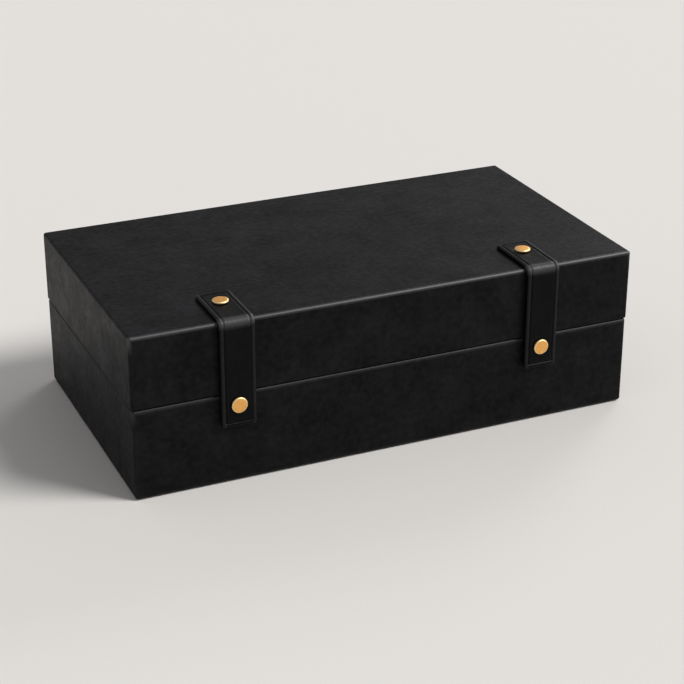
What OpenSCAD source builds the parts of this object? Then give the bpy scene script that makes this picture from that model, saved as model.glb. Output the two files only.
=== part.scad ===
// Stationery box: a leather-covered board box with a hinged lid and two closing straps.
// Millimetres. The origin is the centre of the underside, +X runs along the length,
// -Y is the front, where the straps hang, and +Z is up.

/* [Box] */
// Length of the closed box over the leather
box_w = 340; // [240:1:420]
// Depth of the closed box over the leather, without the straps
box_d = 186; // [140:1:300]
// Height of the base, from the table to its rim
base_h = 60; // [40:1:100]
// Height of the lid, from its rim to its top
lid_h = 47.6; // [40:0.2:90]
// Gap between the two rims when the box is closed
rim_gap = 0.4; // [0.2:0.1:1]
// How far the base stands inside the lid's outline on each side
base_inset = 0.4; // [0:0.1:0.8]

/* [Boards] */
// Thickness of the boards
board_t = 4; // [3:0.5:6]

/* [Leather cover] */
// Thickness of the leather that covers the boards
cover_t = 1; // [0.8:0.1:1.4]
// Radius where the leather rounds the outer edges
edge_r = 1.6; // [1.1:0.1:2]
// Thickness of the pared leather that is turned in over the edges
turn_t = 0.8; // [0.5:0.1:1]
// Height of the turned-in leather inside each rim
turn_h = 15; // [10:1:20]
// Width of the turned-under leather below the base
under_w = 14; // [10:1:30]

/* [Lining] */
// Thickness of the suede lining panels with their card
lining_t = 2; // [1.6:0.1:3]
// Distance from each rim down to the lining's edge
lining_drop = 3.5; // [3:0.1:6]
// Thickness of the floor and top lining panels
pad_t = 3; // [2:0.5:5]
// Gap round the floor and top lining panels
pad_gap = 0.3; // [0.2:0.1:0.8]

/* [Underside] */
// Thickness of the panel that closes the underside
foot_t = 1.6; // [1.4:0.1:3]
// How far the leather stays above the table
foot_lift = 0.6; // [0.3:0.1:1]
// Gap between the underside panel and the turned-under leather
foot_gap = 0.5; // [0.2:0.1:1]

/* [Leather hinge] */
// Thickness of the hinge leather on the back
hinge_t = 1; // [0.8:0.1:1.4]
// Height of the hinge leather above and below the rims
hinge_reach = 16; // [10:1:24]
// Distance from the end of the box to the end of the hinge leather
hinge_end = 8; // [8:1:40]
// Thickness of the suede hinge strip inside
gusset_t = 0.5; // [0.4:0.05:0.6]
// Depth of the strip's slack, folded in between the two rims
gusset_fold = 4.4; // [3:0.1:5]
// Height of the strip's flaps behind the back linings
gusset_flap = 12; // [8:1:18]
// Gap between the folded strip and the pared rims
gusset_gap = 0.05; // [0.05:0.01:0.2]

/* [Straps] */
// Width of each strap
strap_w = 22.6; // [18:0.2:30]
// Thickness of the strap leather
strap_t = 2.6; // [2.2:0.1:3.4]
// Distance from the middle of the box to the middle of each strap
strap_x = 103.5; // [70:0.5:105]
// Length of the strap on top of the lid, behind the front face
strap_top = 40; // [34:0.5:60]
// Distance from the base's rim down to the strap's lower end
strap_drop = 20.5; // [16:0.5:34]
// Distance that the hanging strap stays off the front of the lid
strap_off = 1.3; // [1.1:0.1:2]
// Inner radius of the strap's bend over the lid's edge
bend_r = 1.6; // [1.4:0.1:2.4]
// Radius of the strap's end corners
strap_corner = 2; // [1:0.1:4]
// Radius of the strap's rounded long edges
strap_edge = 0.8; // [0.4:0.1:1]
// Distance of the crease line from the strap's edge
crease_in = 2.9; // [2:0.1:4]
// Radius of the crease tool
crease_r = 0.5; // [0.3:0.05:0.7]
// Depth of the crease line
crease_depth = 0.3; // [0.15:0.05:0.4]
// Gap between the lid's end of the strap and its hanging end, where it flexes
flex_gap = 0.3; // [0.2:0.05:0.5]

/* [Rivets and closure] */
// Diameter of the brass caps
cap_d = 10.2; // [9:0.2:13]
// Height of the brass caps
cap_h = 1.3; // [1:0.1:2]
// Width of the bevel round each cap
cap_bevel = 0.6; // [0.3:0.1:0.8]
// Distance from the front face back to the top rivets
rivet_y = 25; // [18:0.5:32]
// Distance from the base's rim down to the middle of the lower caps
button_drop = 6; // [5.5:0.5:9]
// Diameter of the rivet shanks
shank_d = 3.2; // [2.6:0.1:4]
// Diameter of the pins inside the rivet shanks
pin_d = 1.8; // [1.4:0.1:2]
// Diameter of the flange under the lid board
flange_d = 9; // [7:0.5:12]
// Thickness of the flange under the lid board
flange_t = 1; // [0.6:0.1:1.2]
// Radial gap between a shank and its hole
hole_gap = 0.1; // [0.05:0.05:0.3]
// Diameter of the steel keeper behind the strap
keeper_d = 11; // [8:0.5:11]
// Gap between the keeper and the front of the base
keeper_gap = 0.3; // [0.1:0.1:0.6]
// Diameter of the magnet let into the front board
magnet_d = 12; // [8:0.5:14]
// Thickness of the magnet
magnet_t = 2.5; // [1.5:0.1:2.8]
// Gap round the magnet in its pocket
magnet_gap = 0.15; // [0.05:0.05:0.3]
// Least height of board above the magnet's pocket
magnet_cover = 1; // [0.5:0.1:2]

/* [Hidden] */
$fn = 48;
EPS = 0.01;

// Heights
lid_z = base_h + rim_gap;
top_z = lid_z + lid_h;
board_low = foot_t;
base_board_top = base_h - cover_t;
lid_board_low = lid_z + cover_t;
lid_board_top = top_z - cover_t;

// Height of the line about which the lid turns
hinge_z = (base_h + lid_z) / 2;

// Outlines over the leather and over the boards
base_w = box_w - 2 * base_inset;
base_d = box_d - 2 * base_inset;
base_core_w = base_w - 2 * cover_t;
base_core_d = base_d - 2 * cover_t;
lid_core_w = box_w - 2 * cover_t;
lid_core_d = box_d - 2 * cover_t;

// Inner faces of the turned-in leather at the back of the base and of the lid
base_turn_y = base_core_d / 2 - board_t - turn_t;
lid_turn_y = lid_core_d / 2 - board_t - turn_t;

// Length of the suede hinge strip, which ends level with the hinge leather
gusset_w = box_w - 2 * hinge_end;

// Flex line of each strap, in the middle of its leather halfway round the bend
bend_y = -box_d / 2 - strap_off + bend_r;
bend_z = top_z - bend_r;
flex_in = (bend_r + strap_t / 2) * sin(45);
flex_y = bend_y - flex_in;
flex_z = bend_z + flex_in;

// Radius about the flex line that takes in the whole bend, with a little beyond it
flex_beyond = 0.25;
flex_r = norm([bend_r + strap_t - flex_in, flex_in]) + flex_beyond;

// Faces of the hanging strap
strap_back_y = -box_d / 2 - strap_off;
strap_face_y = strap_back_y - strap_t;
strap_end_y = -box_d / 2 + strap_top;
strap_top_z = top_z + strap_t;
rivet_pos_y = -box_d / 2 + rivet_y;
strap_foot = base_h - strap_drop;
button_z = base_h - button_drop;
keeper_t = strap_off + base_inset - keeper_gap;

// Height of the magnets, opposite the keepers or as near to that as the board allows
magnet_r = magnet_d / 2 + magnet_gap;
magnet_z = min(button_z, base_board_top - magnet_cover - magnet_r);

leather = [0.11, 0.11, 0.12];
suede = [0.3, 0.28, 0.26];
greyboard = [0.52, 0.5, 0.46];
brass = [0.83, 0.63, 0.32];
steel = [0.6, 0.6, 0.62];

// A block centred on the Z axis, standing on z0
module slab(w, d, z0, z1) {
    translate([-w / 2, -d / 2, z0])
        cube([w, d, z1 - z0]);
}

// A rectangle centred on the origin with round corners
module round_rect(w, h, r) {
    union() {
        square([w - 2 * r, h], center = true);
        square([w, h - 2 * r], center = true);
        for (x = [-1, 1], y = [-1, 1])
            translate([x * (w / 2 - r), y * (h / 2 - r)])
                circle(r = r);
    }
}

// A block with every edge rounded, as leather drawn over a board box
module round_block(w, d, z0, z1, r) {
    h = z1 - z0;
    translate([0, 0, z0 + h / 2])
        intersection() {
            translate([0, 0, -h / 2])
                linear_extrude(h)
                    round_rect(w, d, r);
            rotate([90, 0, 0])
                translate([0, 0, -d / 2])
                    linear_extrude(d)
                        round_rect(w, h, r);
            rotate([90, 0, 90])
                translate([0, 0, -w / 2])
                    linear_extrude(w)
                        round_rect(d, h, r);
        }
}

// One wall board of a half, standing on the panel or hanging from it.
// The front and back boards run the full length, the end boards fit between them.
module long_board(core_w, core_d, z0, z1, side) {
    translate([-core_w / 2, side < 0 ? -core_d / 2 : core_d / 2 - board_t, z0])
        cube([core_w, board_t, z1 - z0]);
}

module end_board(core_w, core_d, z0, z1, side) {
    translate([side < 0 ? -core_w / 2 : core_w / 2 - board_t, -core_d / 2 + board_t, z0])
        cube([board_t, core_d - 2 * board_t, z1 - z0]);
}

// Base boards
module base_bottom_board() {
    color(greyboard)
        slab(base_core_w, base_core_d, board_low, board_low + board_t);
}

module base_front_board() {
    color(greyboard)
        difference() {
            long_board(base_core_w, base_core_d, board_low + board_t, base_board_top, -1);
            for (side = [-1, 1])
                magnet_pocket(side);
        }
}

module magnet_pocket(side) {
    translate([side * strap_x, -base_core_d / 2 - EPS, magnet_z])
        rotate([-90, 0, 0])
            cylinder(h = magnet_t + magnet_gap + EPS, r = magnet_r);
}

module base_back_board() {
    color(greyboard)
        long_board(base_core_w, base_core_d, board_low + board_t, base_board_top, 1);
}

module base_left_board() {
    color(greyboard)
        end_board(base_core_w, base_core_d, board_low + board_t, base_board_top, -1);
}

module base_right_board() {
    color(greyboard)
        end_board(base_core_w, base_core_d, board_low + board_t, base_board_top, 1);
}

// Leather drawn over the base, turned in over the rim and under the bottom
module base_cover() {
    inner_w = base_core_w - 2 * board_t;
    inner_d = base_core_d - 2 * board_t;
    color(leather)
        difference() {
            round_block(base_w, base_d, foot_lift, base_h, edge_r);
            slab(inner_w - 2 * turn_t, inner_d - 2 * turn_t, board_low - EPS, base_h + EPS);
            slab(inner_w, inner_d, board_low - EPS, base_h - turn_h);
            difference() {
                slab(base_core_w, base_core_d, board_low, base_board_top);
                slab(inner_w, inner_d, board_low - EPS, base_h);
            }
            slab(base_w - 2 * under_w, base_d - 2 * under_w, 0, board_low);
            gusset_recess();
        }
}

module underside_panel() {
    w = base_w - 2 * (under_w + foot_gap);
    d = base_d - 2 * (under_w + foot_gap);
    color(suede)
        linear_extrude(foot_t)
            round_rect(w, d, edge_r);
}

// Lining panels. Each is a card covered in suede, stepped to lie over the turned-in
// leather, and the back ones also over the flaps of the hinge strip.
module wall_lining(core_w, core_d, z0, z1, rim_z0, rim_z1, side) {
    in_w = core_w - 2 * board_t;
    in_d = core_d - 2 * board_t;
    difference() {
        if (side == "front")
            translate([-in_w / 2, -in_d / 2, z0])
                cube([in_w, lining_t, z1 - z0]);
        else if (side == "back")
            translate([-in_w / 2, in_d / 2 - lining_t, z0])
                cube([in_w, lining_t, z1 - z0]);
        else
            translate([side == "left" ? -in_w / 2 : in_w / 2 - lining_t, -in_d / 2 + lining_t, z0])
                cube([lining_t, in_d - 2 * lining_t, z1 - z0]);
        difference() {
            slab(in_w + EPS, in_d + EPS, rim_z0, rim_z1);
            slab(in_w - 2 * turn_t, in_d - 2 * turn_t, rim_z0 - EPS, rim_z1 + EPS);
        }
        if (side == "back")
            gusset_flaps();
    }
}

module base_wall_lining(side) {
    color(suede)
        wall_lining(base_core_w, base_core_d, board_low + board_t, base_h - lining_drop,
            base_h - turn_h, base_h, side);
}

module lid_wall_lining(side) {
    color(suede)
        wall_lining(lid_core_w, lid_core_d, lid_z + lining_drop, lid_board_top - board_t,
            lid_z, lid_z + turn_h, side);
}

module base_front_lining() {
    base_wall_lining("front");
}

module base_back_lining() {
    base_wall_lining("back");
}

module base_left_lining() {
    base_wall_lining("left");
}

module base_right_lining() {
    base_wall_lining("right");
}

module base_floor_lining() {
    inset = 2 * (board_t + lining_t + pad_gap);
    color(suede)
        translate([0, 0, board_low + board_t])
            linear_extrude(pad_t)
                round_rect(base_core_w - inset, base_core_d - inset, edge_r);
}

// Magnets let into the front board behind the leather
module closure_magnets() {
    color(steel)
        for (side = [-1, 1])
            translate([side * strap_x, -base_core_d / 2, magnet_z])
                rotate([-90, 0, 0])
                    cylinder(h = magnet_t, d = magnet_d);
}

// Lid boards
module lid_top_board() {
    color(greyboard)
        difference() {
            slab(lid_core_w, lid_core_d, lid_board_top - board_t, lid_board_top);
            rivet_holes();
        }
}

module lid_front_board() {
    color(greyboard)
        long_board(lid_core_w, lid_core_d, lid_board_low, lid_board_top - board_t, -1);
}

module lid_back_board() {
    color(greyboard)
        long_board(lid_core_w, lid_core_d, lid_board_low, lid_board_top - board_t, 1);
}

module lid_left_board() {
    color(greyboard)
        end_board(lid_core_w, lid_core_d, lid_board_low, lid_board_top - board_t, -1);
}

module lid_right_board() {
    color(greyboard)
        end_board(lid_core_w, lid_core_d, lid_board_low, lid_board_top - board_t, 1);
}

module lid_cover() {
    inner_w = lid_core_w - 2 * board_t;
    inner_d = lid_core_d - 2 * board_t;
    color(leather)
        difference() {
            round_block(box_w, box_d, lid_z, top_z, edge_r);
            slab(inner_w - 2 * turn_t, inner_d - 2 * turn_t, lid_z - EPS, lid_board_top);
            slab(inner_w, inner_d, lid_z + turn_h, lid_board_top);
            difference() {
                slab(lid_core_w, lid_core_d, lid_board_low, lid_board_top);
                slab(inner_w, inner_d, lid_z, lid_board_top - board_t);
            }
            gusset_recess();
            rivet_holes();
        }
}

module lid_front_lining() {
    lid_wall_lining("front");
}

module lid_back_lining() {
    lid_wall_lining("back");
}

module lid_left_lining() {
    lid_wall_lining("left");
}

module lid_right_lining() {
    lid_wall_lining("right");
}

// Top lining, with a recess over each rivet flange
module lid_top_lining() {
    inset = 2 * (board_t + lining_t + pad_gap);
    under = lid_board_top - board_t;
    color(suede)
        difference() {
            translate([0, 0, under - pad_t])
                linear_extrude(pad_t)
                    round_rect(lid_core_w - inset, lid_core_d - inset, edge_r);
            for (side = [-1, 1])
                translate([side * strap_x, rivet_pos_y, under - flange_t - 2 * hole_gap])
                    cylinder(h = pad_t, d = flange_d + 4 * hole_gap);
        }
}

// Holes for the top rivets through the lid's leather and board
module rivet_holes() {
    for (side = [-1, 1])
        translate([side * strap_x, rivet_pos_y, lid_board_top - board_t - EPS])
            cylinder(h = board_t + cover_t + 2 * EPS, d = shank_d + 2 * hole_gap);
}

// Leather strip glued across the back of base and lid, on which the lid turns
module hinge_leather() {
    w = box_w - 2 * hinge_end;
    color(leather)
        difference() {
            translate([0, box_d / 2 - base_inset, hinge_z])
                rotate([-90, 0, 0])
                    linear_extrude(hinge_t + base_inset)
                        round_rect(w, 2 * hinge_reach + rim_gap, strap_corner);
            slab(box_w, box_d, lid_z, top_z);
        }
}

// Suede strip across the joint inside. Its flaps lie behind the back linings, and its
// slack is folded in between the rims and draws taut when the lid is fully open.
module hinge_gusset() {
    color(suede)
        union() {
            gusset_flaps();
            gusset_slack(gusset_t, 0, 0);
        }
}

module gusset_flaps() {
    reach = lining_drop + gusset_flap;
    translate([-gusset_w / 2, base_turn_y - gusset_t, base_h - reach])
        cube([gusset_w, gusset_t, reach + rim_gap / 2]);
    translate([-gusset_w / 2, lid_turn_y - gusset_t, lid_z - rim_gap / 2])
        cube([gusset_w, gusset_t, reach + rim_gap / 2]);
}

// The two layers of the fold, or with gaps the room that they take in the rims
module gusset_slack(half_t, end_gap, tip_gap) {
    w = gusset_w + 2 * end_gap;
    translate([-w / 2, base_turn_y - gusset_t, hinge_z - half_t])
        cube([w, gusset_t + gusset_fold + tip_gap, 2 * half_t]);
}

// Recess pared into both rims at the back for the folded strip
module gusset_recess() {
    gusset_slack(gusset_t + gusset_gap, pad_gap, pad_gap);
}

// Cross-section of the strap: X across, Y out from the box, outer face up
module strap_section() {
    difference() {
        translate([0, strap_t / 2])
            round_rect(strap_w, strap_t, strap_edge);
        for (side = [-1, 1])
            translate([side * (strap_w / 2 - crease_in), strap_t + crease_r - crease_depth])
                circle(r = crease_r);
    }
}

// A straight length of strap along +Y, outer face up, with round corners at its far end
module strap_run(length) {
    difference() {
        intersection() {
            rotate([90, 0, 180])
                linear_extrude(length)
                    strap_section();
            translate([0, length / 2 - strap_corner])
                linear_extrude(2 * strap_t)
                    round_rect(strap_w, length + 2 * strap_corner, strap_corner);
        }
        translate([-strap_w / 2 + crease_in, length - crease_in, strap_t + crease_r - crease_depth])
            rotate([0, 90, 0])
                cylinder(h = strap_w - 2 * crease_in, r = crease_r);
    }
}

// The stretch on top of the lid, from the bend back to the riveted end
module strap_on_top() {
    translate([0, bend_y, top_z])
        difference() {
            strap_run(strap_end_y - bend_y);
            translate([0, rivet_pos_y - bend_y, -EPS])
                cylinder(h = strap_t + 2 * EPS, d = shank_d + 2 * hole_gap);
        }
}

// The quarter turn over the lid's front edge
module strap_bend() {
    translate([0, bend_y, bend_z])
        rotate([0, 90, 0])
            rotate([0, 0, 180])
                rotate_extrude(angle = 90)
                    translate([bend_r, 0])
                        rotate(-90)
                            strap_section();
}

// The hanging stretch, from the bend down to the free end
module strap_hanging() {
    translate([0, strap_back_y, bend_z])
        rotate([-90, 0, 0])
            mirror([0, 0, 1])
                difference() {
                    strap_run(bend_z - strap_foot);
                    translate([0, bend_z - button_z, -EPS])
                        cylinder(h = strap_t + 2 * EPS, d = shank_d + 2 * hole_gap);
                }
}

module flex_core(r) {
    translate([-strap_w, flex_y, flex_z])
        rotate([0, 90, 0])
            cylinder(h = 2 * strap_w, r = r);
}

module strap_anchor() {
    color(leather)
        union() {
            strap_on_top();
            strap_bend();
            intersection() {
                strap_hanging();
                flex_core(flex_r);
            }
        }
}

module strap_tail() {
    color(leather)
        difference() {
            strap_hanging();
            flex_core(flex_r + flex_gap);
        }
}

module left_strap_anchor() {
    translate([-strap_x, 0, 0])
        strap_anchor();
}

module right_strap_anchor() {
    translate([strap_x, 0, 0])
        strap_anchor();
}

module left_strap_tail() {
    translate([-strap_x, 0, 0])
        strap_tail();
}

module right_strap_tail() {
    translate([strap_x, 0, 0])
        strap_tail();
}

// A flat brass cap with a bevelled rim, standing on z = 0
module cap_head() {
    rotate_extrude()
        polygon([
            [0, 0],
            [cap_d / 2, 0],
            [cap_d / 2, cap_h - cap_bevel],
            [cap_d / 2 - cap_bevel, cap_h],
            [0, cap_h]
        ]);
}

// Top rivets: a cap with a hollow shank, and a flanged pin driven up into it
module rivet_caps() {
    depth = strap_t + cover_t + board_t;
    color(brass)
        for (side = [-1, 1])
            translate([side * strap_x, rivet_pos_y, strap_top_z])
                difference() {
                    union() {
                        cap_head();
                        translate([0, 0, -depth])
                            cylinder(h = depth + EPS, d = shank_d);
                    }
                    translate([0, 0, -depth - EPS])
                        cylinder(h = depth + 2 * EPS, d = pin_d);
                }
}

module rivet_posts() {
    under = lid_board_top - board_t;
    color(brass)
        for (side = [-1, 1])
            translate([side * strap_x, rivet_pos_y, under - flange_t]) {
                cylinder(h = flange_t, d = flange_d);
                cylinder(h = flange_t + board_t, d = pin_d);
            }
}

// Lower caps: a cap whose shank passes the strap and the steel keeper
module button() {
    depth = strap_t + keeper_t;
    color(brass)
        translate([0, strap_face_y, button_z])
            rotate([90, 0, 0]) {
                cap_head();
                translate([0, 0, -depth])
                    cylinder(h = depth + EPS, d = shank_d);
            }
}

module keeper() {
    color(steel)
        translate([0, strap_back_y, button_z])
            rotate([-90, 0, 0])
                difference() {
                    cylinder(h = keeper_t, d = keeper_d);
                    translate([0, 0, -EPS])
                        cylinder(h = keeper_t + 2 * EPS, d = shank_d);
                }
}

module left_button() {
    translate([-strap_x, 0, 0])
        button();
}

module right_button() {
    translate([strap_x, 0, 0])
        button();
}

module left_keeper() {
    translate([-strap_x, 0, 0])
        keeper();
}

module right_keeper() {
    translate([strap_x, 0, 0])
        keeper();
}

base_bottom_board();
base_front_board();
base_back_board();
base_left_board();
base_right_board();
base_cover();
underside_panel();
base_floor_lining();
base_front_lining();
base_back_lining();
base_left_lining();
base_right_lining();
closure_magnets();
lid_top_board();
lid_front_board();
lid_back_board();
lid_left_board();
lid_right_board();
lid_cover();
lid_top_lining();
lid_front_lining();
lid_back_lining();
lid_left_lining();
lid_right_lining();
hinge_leather();
hinge_gusset();
left_strap_anchor();
right_strap_anchor();
left_strap_tail();
right_strap_tail();
rivet_caps();
rivet_posts();
left_button();
right_button();
left_keeper();
right_keeper();
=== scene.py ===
import math
import bmesh
import bpy
from mathutils import Matrix, Vector, noise


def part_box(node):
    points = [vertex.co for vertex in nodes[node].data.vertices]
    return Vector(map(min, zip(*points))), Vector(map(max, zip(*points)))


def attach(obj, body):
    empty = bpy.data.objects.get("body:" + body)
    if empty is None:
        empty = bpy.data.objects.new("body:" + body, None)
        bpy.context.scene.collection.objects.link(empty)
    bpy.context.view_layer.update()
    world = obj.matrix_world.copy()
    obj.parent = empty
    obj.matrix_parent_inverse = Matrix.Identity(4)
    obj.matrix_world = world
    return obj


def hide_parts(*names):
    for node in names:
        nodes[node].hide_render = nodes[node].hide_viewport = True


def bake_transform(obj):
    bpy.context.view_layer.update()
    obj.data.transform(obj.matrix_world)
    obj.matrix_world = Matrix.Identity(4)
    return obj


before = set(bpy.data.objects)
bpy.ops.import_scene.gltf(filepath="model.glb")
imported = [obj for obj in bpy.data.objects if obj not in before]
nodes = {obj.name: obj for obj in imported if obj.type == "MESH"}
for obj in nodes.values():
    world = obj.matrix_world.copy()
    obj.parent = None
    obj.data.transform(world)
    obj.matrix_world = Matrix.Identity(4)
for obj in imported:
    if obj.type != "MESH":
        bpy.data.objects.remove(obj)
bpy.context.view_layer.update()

scene = bpy.context.scene


# The view. The box stands on a table and is seen from its front left, a little from above,
# through a long lens from about 1.2 m away, with the lens shifted down to keep it in frame.
VIEW_AZIMUTH = math.radians(-23.69)
VIEW_ELEVATION = math.radians(23.68)
VIEW_DISTANCE = 1.2338
VIEW_ACROSS = 0.00579
VIEW_UP = 0.05547
VIEW_END = 20.0
FOCAL_PIXELS = 1816.0
IMAGE_PIXELS = 684
SENSOR_WIDTH = 36.0
LENS_SHIFT = -0.05


def place_camera():
    back = Vector((
        math.sin(VIEW_AZIMUTH) * math.cos(VIEW_ELEVATION),
        -math.cos(VIEW_AZIMUTH) * math.cos(VIEW_ELEVATION),
        math.sin(VIEW_ELEVATION),
    ))
    right = Vector((math.cos(VIEW_AZIMUTH), math.sin(VIEW_AZIMUTH), 0.0))
    up = back.cross(right)
    data = bpy.data.cameras.new("photo_view")
    data.sensor_width = SENSOR_WIDTH
    data.lens = SENSOR_WIDTH * FOCAL_PIXELS / IMAGE_PIXELS
    data.shift_y = LENS_SHIFT
    data.clip_end = VIEW_END
    camera = bpy.data.objects.new("photo_view", data)
    turn = Matrix((right, up, back)).transposed().to_4x4()
    place = right * VIEW_ACROSS + up * VIEW_UP + back * VIEW_DISTANCE
    camera.matrix_world = Matrix.Translation(place) @ turn
    scene.collection.objects.link(camera)
    scene.camera = camera


place_camera()


# The light. Two broad, soft lamps far away light the floor evenly. The key, above the front
# right, lights the edges and the bends of the straps. A weaker, lower one behind the right puts
# the sheen on the top. The room is dim overhead and paler towards the horizon.
KEY_FROM = (2.42, -1.67, 2.96)
KEY_SPREAD = math.radians(24.0)
KEY_STRENGTH = 2.93
BACK_FROM = (2.55, 2.15, 1.65)
BACK_SPREAD = math.radians(22.0)
BACK_STRENGTH = 0.64
HORIZON_LOW = 0.06
HORIZON_HIGH = 0.22
scene.view_settings.view_transform = "Standard"


def add_lamp(name, aim_from, spread, strength):
    """A lamp whose light comes evenly from one side, as from a wide softbox a long way off."""
    data = bpy.data.lights.new(name, "SUN")
    data.angle = spread
    data.energy = strength
    lamp = bpy.data.objects.new(name, data)
    lamp.location = aim_from
    lamp.rotation_euler = Vector(aim_from).to_track_quat("Z", "Y").to_euler()
    scene.collection.objects.link(lamp)


add_lamp("key_softbox", KEY_FROM, KEY_SPREAD, KEY_STRENGTH)
add_lamp("back_softbox", BACK_FROM, BACK_SPREAD, BACK_STRENGTH)


def node(tree, kind, settings=None, links=None):
    """Adds a node, sets its values by socket or property name, and links its inputs."""
    made = tree.nodes.new(kind)
    for key, value in (settings or {}).items():
        if isinstance(key, str) and hasattr(made, key) and key not in made.inputs:
            setattr(made, key, value)
        else:
            made.inputs[key].default_value = value
    for key, source in (links or {}).items():
        tree.links.new(source, made.inputs[key])
    return made


def linear(hex_code):
    """An sRGB hex colour as linear RGBA."""
    parts = [int(hex_code[i:i + 2], 16) / 255 for i in (1, 3, 5)]
    return [c / 12.92 if c <= 0.04045 else ((c + 0.055) / 1.055) ** 2.4 for c in parts] + [1.0]


def light_room():
    """The room's own light: a pale horizon that gives way to a dimmer grey higher up."""
    world = bpy.data.worlds.new("studio")
    world.use_nodes = True
    tree = world.node_tree
    tree.nodes.clear()
    coords = node(tree, "ShaderNodeTexCoord")
    height = node(tree, "ShaderNodeSeparateXYZ", None, {0: coords.outputs["Generated"]})
    rise = node(tree, "ShaderNodeMapRange", {"From Min": HORIZON_LOW, "From Max": HORIZON_HIGH},
                {"Value": height.outputs["Z"]})
    tone = node(tree, "ShaderNodeMixRGB", {1: linear("#e4e1dd"), 2: linear("#a2a2a5")},
                {0: rise.outputs[0]})
    room = node(tree, "ShaderNodeBackground", None, {"Color": tone.outputs[0]})
    node(tree, "ShaderNodeOutputWorld", None, {"Surface": room.outputs[0]})
    scene.world = world


light_room()


# The floor. A plain pale matt sheet that the box stands on, wide enough to fill every view,
# and it keeps the box's shadow.
FLOOR_HALF = 7.0
PAPER_GRAIN_MM = 1.11


def new_material(name):
    """A new material, its empty node tree and its output node."""
    material = bpy.data.materials.new(name)
    material.use_nodes = True
    tree = material.node_tree
    tree.nodes.clear()
    return material, tree, node(tree, "ShaderNodeOutputMaterial")


def floor_paper():
    """Matt paper: an even, chalky face. The real grain is far finer than a pixel, and is drawn
    about a millimetre wide so that it just shows."""
    material, tree, out = new_material("matt_background_paper")
    coords = node(tree, "ShaderNodeTexCoord")
    grain = node(tree, "ShaderNodeTexNoise", {"Scale": 1000.0 / PAPER_GRAIN_MM, "Detail": 3.0},
                 {"Vector": coords.outputs["Object"]})
    tone = node(tree, "ShaderNodeValToRGB", None, {"Fac": grain.outputs["Fac"]})
    tone.color_ramp.elements[0].color = linear("#d3d0cb")
    tone.color_ramp.elements[1].color = linear("#dbd8d3")
    body = node(tree, "ShaderNodeBsdfPrincipled", {"Roughness": 0.9},
                {"Base Color": tone.outputs["Color"]})
    tree.links.new(body.outputs[0], out.inputs["Surface"])
    return material


def lay_floor():
    mesh = bpy.data.meshes.new("floor")
    corners = [(x * FLOOR_HALF, y * FLOOR_HALF, 0) for x, y in ((-1, -1), (1, -1), (1, 1), (-1, 1))]
    mesh.from_pydata(corners, [], [(0, 1, 2, 3)])
    floor = bpy.data.objects.new("floor", mesh)
    scene.collection.objects.link(floor)
    mesh.materials.append(floor_paper())


lay_floor()


# The leather covers. One sheet of black calf is drawn over each half's boards, rounds their
# edges, and is pared and turned in over the rims, and under the bottom of the base.
COVER_EDGE = 0.0018
BASE_RIM_EDGE = 0.0011
LID_RIM_EDGE = 0.0015
SHARPEST_CORNER = 0.0002
COVER_THICK = 0.0010
BOARD_THICK = 0.004
TURN_THICK = 0.0008
TURN_HEIGHT = 0.015
UNDER_WIDTH = 0.014
PARED_WIDTH = 0.0008
PARED_HEIGHT = 0.0004
LONG_STEPS = 84
SHORT_STEPS = 46
CORNER_STEPS = 6
EDGE_STEPS = 9
LID_WALL_STEPS = 5
BASE_WALL_STEPS = 6
TOP_RINGS = (0.020, 0.008)
INSIDE_RING = 0.010
DRAWN_IN = 0.00022
WAVE_LENGTH = 0.045
WALL_SHARE = 0.9
EDGE_REACH = 0.0026
SIDE_BURNISH = 0.05
# The front edge of the lid's top and the front of the base's rim are painted paler as a highlight, on top of
# their real rubbing.
LID_TOP_WEAR_AND_HIGHLIGHT = 1.0
LID_RIM_BURNISH = 0.0
BASE_RIM_WEAR_AND_HIGHLIGHT = 0.4
BASE_FOOT_BURNISH = 0.1


def arc(centre, radius, start, end, steps):
    """Points on an arc from start to end degrees, both ends included."""
    turn = [math.radians(start + (end - start) * i / steps) for i in range(steps + 1)]
    return [(centre[0] + radius * math.cos(a), centre[1] + radius * math.sin(a)) for a in turn]


def rolled_edge(inset, z, radius, start, end, steps):
    """A rounded edge as insets and heights, about a centre at that inset and height."""
    return [(inset - dx, z + dz) for dx, dz in arc((0, 0), radius, start, end, steps)]


def wall_rings(start, end, count):
    """Rings down an outer wall, the first and last of them where the burnish of its edges ends."""
    return [(0, start + (end - start) * k / count) for k in range(count + 1)]


def round_ring(half, inset, corner, z):
    """A level rounded rectangle about the origin, inset from the half sizes. Every ring has the
    same steps, which are short near the corners."""
    hx, hy = half.x - inset, half.y - inset
    r = max(corner - inset, SHARPEST_CORNER)
    cx, cy = hx - r, hy - r
    sides = (
        ((-cx, -hy), (cx, -hy), (cx, -cy), -90, LONG_STEPS),
        ((hx, -cy), (hx, cy), (cx, cy), 0, SHORT_STEPS),
        ((cx, hy), (-cx, hy), (-cx, cy), 90, LONG_STEPS),
        ((-hx, cy), (-hx, -cy), (-cx, -cy), 180, SHORT_STEPS),
    )
    points = []
    for start, end, centre, angle, steps in sides:
        for i in range(steps):
            share = 0.5 - 0.5 * math.cos(math.pi * i / steps)
            x = start[0] + (end[0] - start[0]) * share
            y = start[1] + (end[1] - start[1]) * share
            points.append((x, y, z))
        points += [(x, y, z) for x, y in arc(centre, r, angle, angle + 90, CORNER_STEPS)[:-1]]
    return points


def lay_rings(bm, half, corner, path):
    """A ring of vertices for each inset and height along a path."""
    return [[bm.verts.new(p) for p in round_ring(half, inset, corner, z)] for inset, z in path]


def join_rings(bm, rings):
    """Faces between each ring of vertices and the next."""
    for a, b in zip(rings, rings[1:]):
        for i in range(len(a)):
            j = (i + 1) % len(a)
            bm.faces.new((a[i], a[j], b[j], b[i]))


def close_ends(bm, rings):
    """A face across the first ring and one across the last."""
    bm.faces.new(rings[0])
    bm.faces.new(rings[-1][::-1])


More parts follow.
